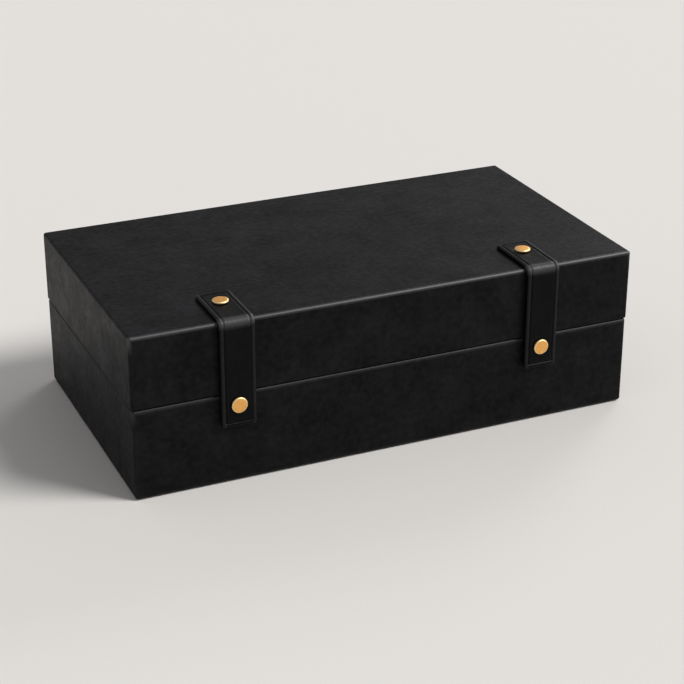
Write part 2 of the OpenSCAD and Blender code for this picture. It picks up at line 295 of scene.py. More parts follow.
def finish_mesh(name, bm, material):
    """Turns a bmesh into a smooth-shaded object with one material and a slot."""
    bmesh.ops.recalc_face_normals(bm, faces=bm.faces)
    mesh = bpy.data.meshes.new(name)
    bm.to_mesh(mesh)
    bm.free()
    mesh.materials.append(material)
    mesh.polygons.foreach_set("use_smooth", [True] * len(mesh.polygons))
    made = bpy.data.objects.new(name, mesh)
    scene.collection.objects.link(made)
    return made


def store_values(made, name, values):
    """Keeps one number for each vertex, which the material reads by that name."""
    made.data.attributes.new(name, "FLOAT", "POINT").data.foreach_set("value", values)


def draw_in(bm, half):
    """Leather over board is never quite flat: a slow wave draws each wall in a little."""
    for v in bm.verts:
        wave = 0.5 + 0.5 * noise.noise(v.co / WAVE_LENGTH)
        for axis in (0, 1):
            if abs(v.co[axis] / half[axis]) > WALL_SHARE:
                v.co[axis] -= math.copysign(wave * DRAWN_IN, v.co[axis])


def mark_edge_wear_and_highlight(made, low, high, top_wear_and_highlight, bottom_share):
    """Stores how rubbed each vertex is, and how much painted highlight it takes: the edges are rubbed, and
    the front edge of the top is painted paler most of all, as a highlight where the light catches it.
    """
    values = []
    for v in made.data.vertices:
        from_front, from_foot, from_top = v.co.y - low.y, v.co.z - low.z, high.z - v.co.z
        gap_x = min(v.co.x - low.x, high.x - v.co.x)
        gap_y = min(from_front, high.y - v.co.y)
        from_edge = sorted((gap_x, gap_y, min(from_foot, from_top)))[1]
        share = SIDE_BURNISH
        if from_top < EDGE_REACH:
            share = top_wear_and_highlight * (1.0 if from_front < EDGE_REACH else SIDE_BURNISH)
        elif from_foot < EDGE_REACH:
            share = bottom_share
        values.append(share * max(0.0, 1.0 - from_edge / EDGE_REACH))
    store_values(made, "edge_wear_and_highlight", values)


CLOUD_MM = 23.8
MOTTLE_PEBBLES = 2.5
MOTTLE_RELIEF = 0.9
TONE_LOW = 0.72
TONE_HIGH = 1.28
DULLER = 0.07
SHINIER = 0.05
EDGE_SHINE = 0.12


def finished_hide(name, dark, light, wear_and_highlight, rough, edge_rough, gloss, pebble_mm):
    """A black hide with a smooth finish, close to satin: a fine pebble, soft cloudy tones, and edges rubbed
    shinier. Their paler colour is partly real rubbing and partly a painted highlight. The pebble of a real
    hide is about half a millimetre, and is drawn coarser so that it shows."""
    material, tree, out = new_material(name)
    coords = node(tree, "ShaderNodeTexCoord")
    place = coords.outputs["Object"]
    cloud = node(tree, "ShaderNodeTexNoise",
                 {"Scale": 1000.0 / CLOUD_MM, "Detail": 3.0, "Roughness": 0.6}, {"Vector": place})
    mottle_mm = MOTTLE_PEBBLES * pebble_mm
    mottle = node(tree, "ShaderNodeTexNoise",
                  {"Scale": 1000.0 / mottle_mm, "Detail": 3.0, "Roughness": 0.55}, {"Vector": place})
    both = node(tree, "ShaderNodeMath", {"operation": "ADD"},
                {0: mottle.outputs["Fac"], 1: cloud.outputs["Fac"]})
    tone = node(tree, "ShaderNodeMapRange", {"From Min": TONE_LOW, "From Max": TONE_HIGH},
                {"Value": both.outputs[0]})
    hide = node(tree, "ShaderNodeMixRGB", {1: linear(dark), 2: linear(light)}, {0: tone.outputs[0]})
    edge = node(tree, "ShaderNodeAttribute", {"attribute_name": "edge_wear_and_highlight"})
    rub = node(tree, "ShaderNodeMapRange",
               {"From Min": 0.3, "From Max": 0.7, "To Min": 0.35, "To Max": 1.0},
               {"Value": mottle.outputs["Fac"]})
    wear_and_highlight_mask = node(tree, "ShaderNodeMath", {"operation": "MULTIPLY"},
                {0: edge.outputs["Fac"], 1: rub.outputs[0]})
    # Painted highlight: the edge mask mixes a paler grey into the hide, partly as real rubbing and partly as
    # light catching the edge.
    colour = node(tree, "ShaderNodeMixRGB", {2: linear(wear_and_highlight)},
                  {0: wear_and_highlight_mask.outputs[0], 1: hide.outputs[0]})
    pebble = node(tree, "ShaderNodeTexVoronoi",
                  {"feature": "SMOOTH_F1", "Scale": 1000.0 / pebble_mm, "Smoothness": 0.6},
                  {"Vector": place})
    height = node(tree, "ShaderNodeMath", {"operation": "MULTIPLY_ADD", 1: MOTTLE_RELIEF},
                  {0: mottle.outputs["Fac"], 2: pebble.outputs["Distance"]})
    grain = node(tree, "ShaderNodeBump", {"Strength": 0.28, "Distance": 0.0003},
                 {"Height": height.outputs[0]})
    dull = node(tree, "ShaderNodeMapRange",
                {"From Min": TONE_LOW, "From Max": TONE_HIGH,
                 "To Min": rough + DULLER, "To Max": rough - SHINIER},
                {"Value": both.outputs[0]})
    shine = node(tree, "ShaderNodeMath", {"operation": "MULTIPLY_ADD", 1: -EDGE_SHINE},
                 {0: edge.outputs["Fac"], 2: dull.outputs[0]})
    skin = node(tree, "ShaderNodeBsdfPrincipled",
                {"IOR": 1.46, "Specular IOR Level": gloss, "Coat Roughness": edge_rough, "Coat IOR": 1.78},
                {"Base Color": colour.outputs[0], "Roughness": shine.outputs[0],
                 "Normal": grain.outputs["Normal"], "Coat Weight": edge.outputs["Fac"]})
    tree.links.new(skin.outputs[0], out.inputs["Surface"])
    return material


# Box calf: the covers' hide is close to satin, and its polished edges catch the light. Their paler colour is
# partly real rubbing and partly a painted highlight, strongest along the front edge of the lid's top.
cover_leather = finished_hide(
    "black_box_calf", dark="#070708", light="#171719", wear_and_highlight="#2a2a2c",
    rough=0.46, edge_rough=0.54, gloss=0.08, pebble_mm=1.6,
)


def cover_lid():
    low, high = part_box("lid_cover")
    rim, top = low.z, high.z
    boarded = COVER_THICK + BOARD_THICK
    inner = boarded + TURN_THICK
    path = [(inset, top) for inset in TOP_RINGS + (EDGE_REACH,)]
    path += rolled_edge(COVER_EDGE, top - COVER_EDGE, COVER_EDGE, 90, 0, EDGE_STEPS)
    path += wall_rings(top - EDGE_REACH, rim + EDGE_REACH, LID_WALL_STEPS)
    path += rolled_edge(LID_RIM_EDGE, rim + LID_RIM_EDGE, LID_RIM_EDGE, 0, -90, EDGE_STEPS)
    path += rolled_edge(inner - LID_RIM_EDGE, rim + LID_RIM_EDGE, LID_RIM_EDGE, -90, -180, EDGE_STEPS)
    path += [(inner, rim + TURN_HEIGHT), (boarded, rim + TURN_HEIGHT)]
    path += [(boarded, rim + COVER_THICK), (COVER_THICK, rim + COVER_THICK)]
    path += [(COVER_THICK, top - COVER_THICK), (INSIDE_RING, top - COVER_THICK)]
    bm = bmesh.new()
    rings = lay_rings(bm, high, COVER_EDGE, path)
    join_rings(bm, rings)
    close_ends(bm, rings)
    draw_in(bm, high)
    made = finish_mesh("lid_leather", bm, cover_leather)
    mark_edge_wear_and_highlight(made, low, high, LID_TOP_WEAR_AND_HIGHLIGHT, LID_RIM_BURNISH)
    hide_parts("lid_cover")
    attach(made, "lid")


def cover_base():
    low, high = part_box("base_cover")
    foot, rim = low.z, high.z
    boarded = COVER_THICK + BOARD_THICK
    inner = boarded + TURN_THICK
    path = [(inner, rim - TURN_HEIGHT)]
    path += rolled_edge(inner - BASE_RIM_EDGE, rim - BASE_RIM_EDGE, BASE_RIM_EDGE, 180, 90, EDGE_STEPS)
    path += rolled_edge(BASE_RIM_EDGE, rim - BASE_RIM_EDGE, BASE_RIM_EDGE, 90, 0, EDGE_STEPS)
    path += wall_rings(rim - EDGE_REACH, foot + EDGE_REACH, BASE_WALL_STEPS)
    path += rolled_edge(COVER_EDGE, foot + COVER_EDGE, COVER_EDGE, 0, -90, EDGE_STEPS)
    path += [(UNDER_WIDTH - PARED_WIDTH, foot), (UNDER_WIDTH, foot + PARED_HEIGHT)]
    path += [(UNDER_WIDTH, foot + COVER_THICK), (COVER_THICK, foot + COVER_THICK)]
    path += [(COVER_THICK, rim - COVER_THICK), (boarded, rim - COVER_THICK)]
    path += [(boarded, rim - TURN_HEIGHT)]
    bm = bmesh.new()
    rings = lay_rings(bm, high, COVER_EDGE, path)
    join_rings(bm, rings + rings[:1])
    draw_in(bm, high)
    made = finish_mesh("base_leather", bm, cover_leather)
    mark_edge_wear_and_highlight(made, low, high, BASE_RIM_WEAR_AND_HIGHLIGHT, BASE_FOOT_BURNISH)
    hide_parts("base_cover")
    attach(made, "base")


cover_lid()
cover_base()


# The boards. Grey pressed board, cut square and glued, makes the box under the leather. It
# stays hidden, so the solids keep their shape and only take the finish.
WALLS = ("front", "back", "left", "right")
FLECK_MM = 1.43


def pressed_board():
    """Greyboard: dull and flecked, with fibres of waste paper showing in it."""
    material, tree, out = new_material("pressed_greyboard")
    coords = node(tree, "ShaderNodeTexCoord")
    fleck = node(tree, "ShaderNodeTexNoise", {"Scale": 1000.0 / FLECK_MM, "Detail": 6.0},
                 {"Vector": coords.outputs["Object"]})
    tone = node(tree, "ShaderNodeValToRGB", None, {"Fac": fleck.outputs["Fac"]})
    tone.color_ramp.elements[0].color = linear("#6f6a60")
    tone.color_ramp.elements[1].color = linear("#9b9587")
    bump = node(tree, "ShaderNodeBump", {"Strength": 0.3, "Distance": 0.0002},
                {"Height": fleck.outputs["Fac"]})
    body = node(tree, "ShaderNodeBsdfPrincipled", {"Roughness": 0.88},
                {"Base Color": tone.outputs["Color"], "Normal": bump.outputs["Normal"]})
    tree.links.new(body.outputs[0], out.inputs["Surface"])
    return material


def finish_node(name, material):
    """Gives a carried-over solid its material and slot."""
    nodes[name].data.materials.clear()
    nodes[name].data.materials.append(material)


greyboard = pressed_board()
finish_node("base_bottom_board", greyboard)
finish_node("lid_top_board", greyboard)
for half in ("base", "lid"):
    for wall in WALLS:
        finish_node(half + "_" + wall + "_board", greyboard)


# The linings. Card panels wrapped in charcoal suede line the walls, stepped behind to lie over
# the turned-in leather and the hinge's flaps. Thinly padded panels lie on the floor and under
# the top, pressed in between the walls.
PATCH_MM = 20.8
NAP_MM = 1.25
NAP_TONE = 1.1
GUSSET_THICK = 0.0005
PANEL_EDGE = 0.0009
PANEL_EDGE_SHARE = 0.9
PANEL_STEPS = 4
SHARP_ANGLE = 1.0
ON_FACE = 0.00001
PAD_EDGE = 0.0024
PAD_CROWN = 0.0008
PAD_SIDE_SHARE = 0.35
PAD_STEPS_X = 64
PAD_STEPS_Y = 36


def brushed_suede():
    """Suede: a short nap with no shine, in faintly lighter and darker patches where it was brushed
    one way or the other. The real nap is finer than a pixel, and is drawn coarser so that it shows."""
    material, tree, out = new_material("charcoal_suede")
    coords = node(tree, "ShaderNodeTexCoord")
    place = coords.outputs["Object"]
    patch = node(tree, "ShaderNodeTexNoise",
                 {"Scale": 1000.0 / PATCH_MM, "Detail": 3.0, "Distortion": 0.5}, {"Vector": place})
    nap = node(tree, "ShaderNodeTexNoise",
               {"Scale": 1000.0 / NAP_MM, "Detail": 4.0, "Roughness": 0.65}, {"Vector": place})
    both = node(tree, "ShaderNodeMath", {"operation": "MULTIPLY_ADD", 1: NAP_TONE},
                {0: nap.outputs["Fac"], 2: patch.outputs["Fac"]})
    tone = node(tree, "ShaderNodeMapRange", {"From Min": 0.8, "From Max": 1.35},
                {"Value": both.outputs[0]})
    colour = node(tree, "ShaderNodeMixRGB", {1: linear("#302e2c"), 2: linear("#44413e")},
                  {0: tone.outputs[0]})
    bump = node(tree, "ShaderNodeBump", {"Strength": 0.6, "Distance": 0.0004},
                {"Height": nap.outputs["Fac"]})
    body = node(tree, "ShaderNodeBsdfPrincipled",
                {"Roughness": 0.95, "Specular IOR Level": 0.12, "Sheen Weight": 0.12, "Sheen Roughness": 0.5},
                {"Base Color": colour.outputs[0], "Normal": bump.outputs["Normal"]})
    tree.links.new(body.outputs[0], out.inputs["Surface"])
    return material


suede = brushed_suede()


def wall_panel(half, wall, rim):
    """A suede-wrapped card with a softly rolled face, thinner towards the rim."""
    name = half + "_" + wall + "_lining"
    low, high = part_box(name)
    across, along = (1, 0) if wall in ("front", "back") else (0, 1)
    behind, face = low[across], high[across]
    if wall in ("back", "right"):
        behind, face = face, behind
    near, far = sorted((low.z, high.z), key=lambda z: abs(z - rim))
    step, sink = rim + math.copysign(TURN_HEIGHT, far - rim), TURN_THICK
    if wall == "back":
        flap_low, flap_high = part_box("hinge_gusset")
        step, sink = (flap_low.z if half == "base" else flap_high.z), TURN_THICK + GUSSET_THICK
    sunk = behind + math.copysign(sink, face - behind)
    profile = [(face, far), (behind, far), (behind, step), (sunk, step), (sunk, near), (face, near)]
    trim = TURN_THICK if across == 1 else 0.0
    bm = bmesh.new()
    rings = []
    for end in (low[along] + trim, high[along] - trim):
        ring = []
        for depth, z in profile:
            place = Vector((0, 0, z))
            place[across], place[along] = depth, end
            ring.append(bm.verts.new(place))
        rings.append(ring)
    join_rings(bm, rings)
    close_ends(bm, rings)
    rolled = [e for e in bm.edges if all(abs(v.co[across] - face) < ON_FACE for v in e.verts)]
    roll = min(PANEL_EDGE, PANEL_EDGE_SHARE * abs(face - sunk))
    bmesh.ops.bevel(bm, geom=rolled, offset=roll, segments=PANEL_STEPS, profile=0.5, affect="EDGES")
    for edge in bm.edges:
        edge.smooth = edge.calc_face_angle() < SHARP_ANGLE
    made = finish_mesh(name + "_suede", bm, suede)
    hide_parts(name)
    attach(made, half)


def pad_rise(u, w, half):
    """How far the pad stands off its card at u and w, which run from -1 to 1 across it."""
    from_edge = min(half.x * (1 - abs(u)), half.y * (1 - abs(w)))
    roll = 1 - (1 - min(from_edge / PAD_EDGE, 1.0)) ** 2
    side = PAD_SIDE_SHARE + (1 - PAD_SIDE_SHARE) * math.sqrt(roll)
    crown = (1 - u ** 4) * (1 - w ** 4)
    return (half.z * 2 - PAD_CROWN) * side + PAD_CROWN * crown


def pad_panel(name, body, face_up):
    """A padded panel: crowned in the middle, with edges that roll down to the card."""
    low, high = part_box(name)
    middle, half = (low + high) / 2, (high - low) / 2
    card, up = (low.z, 1) if face_up else (high.z, -1)
    bm = bmesh.new()
    loops = []
    for lift in (up, 0):
        grid = []
        for i in range(PAD_STEPS_X + 1):
            u = math.sin(math.pi * (i / PAD_STEPS_X - 0.5))
            row = []
            for j in range(PAD_STEPS_Y + 1):
                w = math.sin(math.pi * (j / PAD_STEPS_Y - 0.5))
                z = card + lift * pad_rise(u, w, half)
                row.append(bm.verts.new((middle.x + half.x * u, middle.y + half.y * w, z)))
            grid.append(row)
        for i in range(PAD_STEPS_X):
            for j in range(PAD_STEPS_Y):
                bm.faces.new((grid[i][j], grid[i + 1][j], grid[i + 1][j + 1], grid[i][j + 1]))
        loop = [row[0] for row in grid[:-1]] + grid[-1][:-1]
        loop += [row[-1] for row in grid[:0:-1]] + grid[0][:0:-1]
        loops.append(loop)
    join_rings(bm, loops)
    made = finish_mesh(name + "_suede", bm, suede)
    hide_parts(name)
    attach(made, body)


base_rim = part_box("base_cover")[1].z
lid_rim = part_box("lid_cover")[0].z
for half, rim in (("base", base_rim), ("lid", lid_rim)):
    for wall in WALLS:
        wall_panel(half, wall, rim)
pad_panel("base_floor_lining", "base", True)
pad_panel("lid_top_lining", "lid", False)


# The closing straps. Each is one length of thick black bridle leather, riveted to the lid,
# bent over its front edge and hanging to the base, with a crease tooled along every edge.
STRAP_BEND = 0.0016
STRAP_CORNER = 0.0020
STRAP_SHARPEST = 0.00005
STRAP_ROUND = 0.00085
ROUND_SHARE = 0.36
CREASE_IN = 0.0029
CREASE_WIDE = 0.0010
CREASE_DEEP = 0.00045
BORDER_CROWN = 0.00032
FIELD_DIP = 0.00012
DIP_REACH = 0.004
FULL_RELIEF = 0.0026
SEAT_RADIUS = 0.0051
SEAT_WIDE = 0.0022
SEAT_DEEP = 0.00022
BEAD_WEAR_AND_HIGHLIGHT = 0.16
BEND_HIGHLIGHT_REACH = 0.0046
RING_GAPS = (
    0.0, 0.00008, 0.00022, 0.00045, 0.00085, 0.0013,
    0.0018, 0.0024, 0.0026, 0.0029, 0.0032, 0.0034,
)
ACROSS_STEPS = 18
CORNER_POINTS = 4
TOP_STEPS = 34
BEND_STEPS = 14
DROP_STEPS = 56


def edge_round(thick):
    """The radius to which a strap's edge is rounded off."""
    return min(STRAP_ROUND, ROUND_SHARE * thick)


def border_height(gap, thick):
    """Height of the grain side over the strap's middle plane, by distance from the nearest edge.
    A thin strip has a shallower crease and a flatter bead."""
    relief = min(1.0, thick / FULL_RELIEF)
    crown, deep, rounded = BORDER_CROWN * relief, CREASE_DEEP * relief, edge_round(thick)
    level = thick / 2 - crown
    inner, outer = CREASE_IN - CREASE_WIDE / 2, CREASE_IN + CREASE_WIDE / 2
    if gap < rounded:
        f = 1 - gap / rounded
        return level - rounded * (1 - math.sqrt(max(0.0, 1 - f * f)))
    if gap < inner:
        return level + crown * math.sin(math.pi * (gap - rounded) / (inner - rounded))
    if gap < outer:
        f = (gap - CREASE_IN) / (CREASE_WIDE / 2)
        return level - deep + deep * f * f
    return level - FIELD_DIP * relief * min(1.0, (gap - outer) / DIP_REACH)


def flat_strap(bm, width, stations, thick, seats):
    """A strap laid flat: grain side up, its plan a rounded rectangle, X across and Y along it.
    Rings follow the edge inwards to the crease, and a grid fills the field inside it."""
    length = stations[-1]
    last = RING_GAPS[-1]
    field_wide, field_long = width - 2 * last, length - 2 * last
    across = [-width / 2 + last + field_wide * i / ACROSS_STEPS for i in range(ACROSS_STEPS + 1)]
    along = [last + field_long * s / length for s in stations]
    nx, ny = len(across), len(along)

    def height(x, y, gap, grain_side):
        """Height over the middle plane. The grain side sinks a little under each rivet cap."""
        if not grain_side:
            f = max(0.0, 1 - gap / edge_round(thick))
            return -thick / 2 + edge_round(thick) * (1 - math.sqrt(max(0.0, 1 - f * f)))
        dip = 0.0
        for seat_x, seat_y in seats:
            f = (math.hypot(x - seat_x, y - seat_y) - SEAT_RADIUS) / SEAT_WIDE
            dip += SEAT_DEEP * (1.0 if f < 0 else max(0.0, 1 - f) ** 2)
        return border_height(gap, thick) - dip

    def outline(gap):
        """The rectangle at that distance from the edge: each side, with a point for every grid
        line, and then the corner after it."""
        corner = max(STRAP_CORNER - gap, STRAP_SHARPEST)
        x1, y0, y1 = width / 2 - gap, gap, length - gap
        grow = (2 * x1 - 2 * corner) / (across[-1] - across[0])
        stretch = (y1 - y0 - 2 * corner) / (along[-1] - along[0])
        xs = [x * grow for x in across]
        ys = [y0 + corner + (y - along[0]) * stretch for y in along]
        sides = (
            ([(x, y0) for x in xs], (x1 - corner, y0 + corner), -90),
            ([(x1, y) for y in ys], (x1 - corner, y1 - corner), 0),
            ([(x, y1) for x in xs[::-1]], (corner - x1, y1 - corner), 90),
            ([(-x1, y) for y in ys[::-1]], (corner - x1, y0 + corner), 180),
        )
        runs = []
        for side, centre, start in sides:
            runs += [side, arc(centre, corner, start, start + 90, CORNER_POINTS)[1:-1]]
        return runs

    def fill_field(runs, grain_side):
        """The grid inside the last ring, whose corner points close onto the grid's corners."""
        low, low_right, right, high_right, high, high_left, left, low_left = runs
        high, left = high[::-1], left[::-1]
        grid = {}
        for i in range(1, nx - 1):
            grid[i, 0], grid[i, ny - 1] = low[i], high[i]
        for j in range(1, ny - 1):
            grid[0, j], grid[nx - 1, j] = left[j], right[j]
            for i in range(1, nx - 1):
                x, y = across[i], along[j]
                gap = min(x + width / 2, width / 2 - x, y, length - y)
                grid[i, j] = bm.verts.new((x, y, height(x, y, gap, grain_side)))
        for j in range(ny - 1):
            for i in range(nx - 1):
                cell = [grid.get(at) for at in ((i, j), (i + 1, j), (i + 1, j + 1), (i, j + 1))]
                if None not in cell:
                    bm.faces.new(cell)
        bm.faces.new([low[1], low[0], *low_left[::-1], left[0], left[1], grid[1, 1]])
        bm.faces.new([right[1], right[0], *low_right[::-1], low[-1], low[-2], grid[nx - 2, 1]])
        bm.faces.new([high[-2], high[-1], *high_right[::-1], right[-1], right[-2], grid[nx - 2, ny - 2]])
        bm.faces.new([left[-2], left[-1], *high_left[::-1], high[0], high[1], grid[1, ny - 2]])

    def strap_side(grain_side):
        """Makes one side of the strap, and gives back the ring at its edge."""
        rings = []
        for gap in RING_GAPS:
            runs = [[bm.verts.new((x, y, height(x, y, gap, grain_side))) for x, y in run]
                    for run in outline(gap)]
            rings.append(sum(runs, []))
        join_rings(bm, rings)
        fill_field(runs, grain_side)
        return rings[0]

    join_rings(bm, [strap_side(True), strap_side(False)])


# Bridle leather: blacker than the covers and waxed, with a finer pebble. The beads along its edges are
# painted a little paler, partly as rubbing and partly as a highlight, and the bend over the lid is painted
# paler as a highlight, besides the soft grey light it catches.
strap_leather = finished_hide(
    "black_bridle_leather", dark="#040405", light="#0b0b0c", wear_and_highlight="#242426",
    rough=0.36, edge_rough=0.74, gloss=0.08, pebble_mm=1.2,
)


def strap_path():
    """Where the flat strap goes: back from the bend on top, round it, and down the front."""
    anchor_low, anchor_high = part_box("left_strap_anchor")
    tail_low, tail_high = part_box("left_strap_tail")
    thick = tail_high.y - tail_low.y
    middle = STRAP_BEND + thick / 2
    bend_y = tail_high.y + STRAP_BEND
    bend_z = anchor_high.z - thick - STRAP_BEND
    return {
        "thick": thick,
        "width": tail_high.x - tail_low.x,
        "middle": middle,
        "bend": (bend_y, bend_z),
        "top": anchor_high.y - bend_y,
        "arc": middle * math.pi / 2,
        "drop": bend_z - tail_low.z,
    }


def strap_stations(path):
    """Distances along the strap, closest together round the bend."""
    top, turn, drop = path["top"], path["arc"], path["drop"]
    steps = [top * i / TOP_STEPS for i in range(TOP_STEPS)]
    steps += [top + turn * i / BEND_STEPS for i in range(BEND_STEPS)]
    steps += [top + turn + drop * i / DROP_STEPS for i in range(DROP_STEPS + 1)]
    return steps


def strap_over_edge(name, side, path):
    """Builds one strap flat, then lays it along its path."""
    cap_low, cap_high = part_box("rivet_caps")
    button_low, button_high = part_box("left_button")
    tail_low, tail_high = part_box(side + "_strap_tail")
    bend_y, bend_z = path["bend"]
    r = path["middle"]
    rivet_at = bend_y + path["top"] - (cap_low.y + cap_high.y) / 2
    button_at = path["top"] + path["arc"] + bend_z - (button_low.z + button_high.z) / 2
    seats = [(0.0, rivet_at), (0.0, button_at)]
    x_mid = (tail_low.x + tail_high.x) / 2
    bm = bmesh.new()
    flat_strap(bm, path["width"], strap_stations(path), path["thick"], seats)
    wear_and_highlight = []
    for v in bm.verts:
        x, s, h = v.co
        along = s - path["top"]
        gap = path["width"] / 2 - abs(x)
        # Painted highlight: the crown of the bend takes the full paler edge colour, fading over its reach,
        # and the beads take a little of it, partly as rubbing.
        bead = math.sin(math.pi * min(1.0, gap / CREASE_IN)) if h > 0 else 0.0
        from_crown = abs(along - path["arc"] / 2)
        wear_and_highlight.append(max(BEAD_WEAR_AND_HIGHLIGHT * bead, 1 - from_crown / BEND_HIGHLIGHT_REACH, 0.0))
        if along < 0:
            y, z = bend_y - along, bend_z + r + h
        elif along < path["arc"]:
            a = math.pi / 2 * (1 + along / path["arc"])
            y, z = bend_y + (r + h) * math.cos(a), bend_z + (r + h) * math.sin(a)
        else:
            y, z = bend_y - r - h, bend_z - (along - path["arc"])
        v.co = Vector((x_mid + x, y, z))
    made = finish_mesh(name, bm, strap_leather)
    store_values(made, "edge_wear_and_highlight", wear_and_highlight)
    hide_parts(side + "_strap_anchor", side + "_strap_tail")
    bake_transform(made)


front_path = strap_path()
strap_over_edge("left_strap_leather", "left", front_path)
strap_over_edge("right_strap_leather", "right", front_path)


# The brass. Flat turned caps with a bevelled rim close the rivets on top and the shanks at the lower ends.
# Their faces are finely brushed to a satin, and the bevels are painted paler as a reflection.
CAP_HEIGHT = 0.0013
# The cap's rim, from its skirt to its face: how far in from the edge, how far below the top.
CAP_RIM = ((0.0, 0.0007), (0.00006, 0.0006), (0.0003, 0.000252), (0.0006, 0.00012), (0.00074, 0.00008))
BEVEL_WIDE = 0.00069
DOME_SHARE = 0.6
DOME_DROP = 0.00003
CAP_TURNS = 72
SHANK_RADIUS = 0.0016
RIVET_DEPTH = 0.0070
BRUSH_MM = 0.714
BEVEL_SOFTER = 0.08


def satin_brass():
    """Brass, finely brushed to a satin face. The bevel is painted paler as a reflection, and is a little
    rougher, so its glint is wide and soft. The real brush marks are finer than a pixel, and are drawn coarser
    so that they show."""
    material, tree, out = new_material("brushed_brass")
    coords = node(tree, "ShaderNodeTexCoord")
    brush = node(tree, "ShaderNodeTexNoise", {"Scale": 1000.0 / BRUSH_MM, "Detail": 3.0},
                 {"Vector": coords.outputs["Object"]})
    tone = node(tree, "ShaderNodeValToRGB", None, {"Fac": brush.outputs["Fac"]})
    tone.color_ramp.elements[0].position = 0.3
    tone.color_ramp.elements[0].color = linear("#eca853")
    tone.color_ramp.elements[1].position = 0.75
    tone.color_ramp.elements[1].color = linear("#fac67a")
    bevel = node(tree, "ShaderNodeAttribute", {"attribute_name": "bevel"})
    # Painted reflection: the bevel's paler colour stands in for the light it reflects from all round.
    colour = node(tree, "ShaderNodeMixRGB", {2: linear("#fbdca6")},
                  {0: bevel.outputs["Fac"], 1: tone.outputs["Color"]})
    rough = node(tree, "ShaderNodeMapRange", {"To Min": 0.40, "To Max": 0.54},
                 {"Value": brush.outputs["Fac"]})
    shine = node(tree, "ShaderNodeMath", {"operation": "MULTIPLY_ADD", 1: BEVEL_SOFTER},
                 {0: bevel.outputs["Fac"], 2: rough.outputs[0]})
    bump = node(tree, "ShaderNodeBump", {"Strength": 0.08, "Distance": 0.00005},
                {"Height": brush.outputs["Fac"]})
    metal = node(tree, "ShaderNodeBsdfPrincipled", {"Metallic": 1.0},
                 {"Base Color": colour.outputs[0], "Roughness": shine.outputs[0],
                  "Normal": bump.outputs["Normal"]})
    tree.links.new(metal.outputs[0], out.inputs["Surface"])
    return material


brass = satin_brass()


def turned_cap(name, radius, depth):
    """A cap turned about its shank: a short skirt, a bevel and a very slightly domed face. It is
    made face up, with the foot of its skirt at the origin's height."""
    profile = [(SHANK_RADIUS, -depth), (SHANK_RADIUS, 0.0), (radius, 0.0)]
    profile += [(radius - inset, CAP_HEIGHT - drop) for inset, drop in CAP_RIM]
    profile += [(radius * DOME_SHARE, CAP_HEIGHT - DOME_DROP)]
    turn = [2 * math.pi * i / CAP_TURNS for i in range(CAP_TURNS)]
    bm = bmesh.new()
    rings = [[bm.verts.new((r * math.cos(a), r * math.sin(a), z)) for a in turn] for r, z in profile]
    join_rings(bm, rings)
    for ring, z in ((rings[0], -depth), (rings[-1], CAP_HEIGHT)):
        middle = bm.verts.new((0, 0, z))
        for i in range(CAP_TURNS):
            bm.faces.new((ring[i], ring[(i + 1) % CAP_TURNS], middle))
    # The bevel mask, by which the brass paints its rim paler as a reflection.
    bevel = [1.0 if math.hypot(v.co.x, v.co.y) > radius - BEVEL_WIDE else 0.0 for v in bm.verts]
    made = finish_mesh(name, bm, brass)
    store_values(made, "bevel", bevel)
    return made


def rivet_top_caps():
    low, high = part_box("rivet_caps")
    radius = (high.y - low.y) / 2
    x = (high.x - low.x) / 2 - radius
    for side, place_x in (("left", -x), ("right", x)):
        cap = turned_cap(side + "_rivet_cap", radius, RIVET_DEPTH)
        cap.data.transform(Matrix.Translation((place_x, (low.y + high.y) / 2, high.z - CAP_HEIGHT)))
        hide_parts("rivet_caps")
        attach(cap, "lid")


def lower_caps():
    for side in ("left", "right"):
        low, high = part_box(side + "_button")
        radius = (high.x - low.x) / 2
        cap = turned_cap(side + "_button_cap", radius, high.y - low.y - CAP_HEIGHT)
        place = Matrix.Translation(((low.x + high.x) / 2, low.y + CAP_HEIGHT, (low.z + high.z) / 2))
        cap.data.transform(place @ Matrix.Rotation(math.radians(90), 4, "X"))
        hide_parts(side + "_button")
        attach(cap, side + "_strap")


rivet_top_caps()
lower_caps()
finish_node("rivet_posts", brass)


# The steel. A nickel-plated keeper sits behind each lower cap, and a magnet in the front board
# pulls on it through the leather.
HAZE_MM = 2.0


def nickel_plate():
    """Nickel plate: satin grey metal, faintly clouded by handling."""
    material, tree, out = new_material("nickel_plated_steel")
    coords = node(tree, "ShaderNodeTexCoord")
    haze = node(tree, "ShaderNodeTexNoise", {"Scale": 1000.0 / HAZE_MM, "Detail": 4.0},
                {"Vector": coords.outputs["Object"]})
    rough = node(tree, "ShaderNodeMapRange", {"To Min": 0.5, "To Max": 0.66},
                 {"Value": haze.outputs["Fac"]})
    metal = node(tree, "ShaderNodeBsdfPrincipled", {"Metallic": 1.0, "Base Color": linear("#8d8c8a")},
                 {"Roughness": rough.outputs[0]})
    tree.links.new(metal.outputs[0], out.inputs["Surface"])
    return material


nickel = nickel_plate()
for name in ("left_keeper", "right_keeper", "closure_magnets"):
    finish_node(name, nickel)


# The hinge. A creased strip of the cover leather is glued across the back of base and lid, and
# a suede strip inside has its slack folded in between the rims, which lets the lid stand open.
HINGE_BEDDED = 0.0002
HINGE_STEPS = 10
CREASE_STEPS = 16
CREASE_NEAR = 0.004
GROOVE_DEEP = 0.00035
GROOVE_WIDE = 0.0011
HINGE_BURNISH = 0.2
# The gusset's folded slack, measured from the joint, from a flap's face or from the fold's tip.
FLAP_END = 0.0012
FLAP_CURVE_IN = 0.0002
FLAP_CURVE_OFF = 0.0003
SLIT_START = 0.0007
SLIT_HALF = 0.00012
SLIT_STOP = 0.0011
SLIT_TIP = 0.0008
FOLD_CUT = 0.0004
TIP_HALF = 0.0002
GUSSET_STEPS = 48
joint_z = (base_rim + lid_rim) / 2


